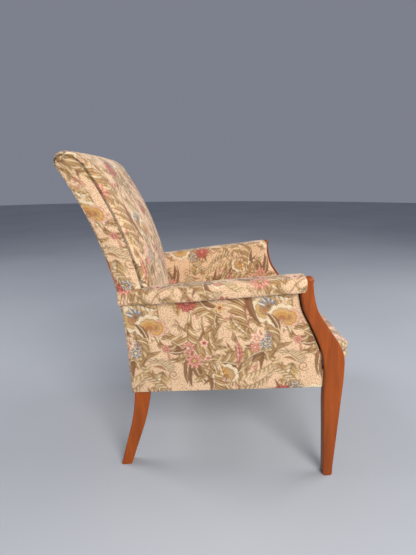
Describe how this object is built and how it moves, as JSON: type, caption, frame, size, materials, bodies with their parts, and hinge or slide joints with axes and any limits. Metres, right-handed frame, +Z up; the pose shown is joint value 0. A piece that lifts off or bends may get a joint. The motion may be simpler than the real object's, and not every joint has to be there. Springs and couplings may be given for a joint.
{
  "type": "upholstered armchair",
  "caption": "Armchair with swept show-wood front legs, sabre rear legs, raked rolled back, padded arms and a loose seat cushion on cross springs.",
  "frame": {"origin": "on the floor under the middle of the chair's box", "axes": "+Z up, front towards -Y, the sitter's left towards +X"},
  "size_m": [0.6766, 0.7913, 0.9043],
  "materials": {
    "show_wood": "satin lacquer",
    "frame_wood": "planed, unfinished",
    "fabric": "woven floral tapestry",
    "foam": "open cell",
    "spring_steel": "bright drawn",
    "fixing_steel": "zinc plated"
  },
  "bodies": {
    "chair": {"front_leg_left": "show_wood", "front_leg_right": "show_wood", "rear_leg_left": "show_wood", "rear_leg_right": "show_wood", "seat_rail_front": "frame_wood", "seat_rail_rear": "frame_wood", "seat_rail_left": "frame_wood", "seat_rail_right": "frame_wood", "corner_blocks": "frame_wood", "corner_screws": "fixing_steel", "dowels": "frame_wood", "arm_rail_left": "frame_wood", "arm_rail_right": "frame_wood", "tack_rail_left": "frame_wood", "tack_rail_right": "frame_wood", "back_top_rail": "frame_wood", "back_bottom_rail": "frame_wood", "spring_plate_left": "fixing_steel", "spring_plate_right": "fixing_steel", "plate_screws": "fixing_steel", "seat_springs": "spring_steel", "back_springs": "spring_steel", "front_border": "fabric", "inside_back": "fabric", "outside_back": "fabric", "back_border_left": "fabric", "back_border_right": "fabric", "arm_pad_left": "fabric", "arm_pad_right": "fabric", "inside_arm_left": "fabric", "inside_arm_right": "fabric", "outside_arm_left": "fabric", "outside_arm_right": "fabric"},
    "cushion": {"cushion_cover": "fabric", "cushion_core": "foam"}
  },
  "joints": [
    {"name": "cushion_lift", "type": "slide", "parent": "chair", "child": "cushion", "axis": [0, 0, 1], "range_m": [0, 0.35]}
  ]
}
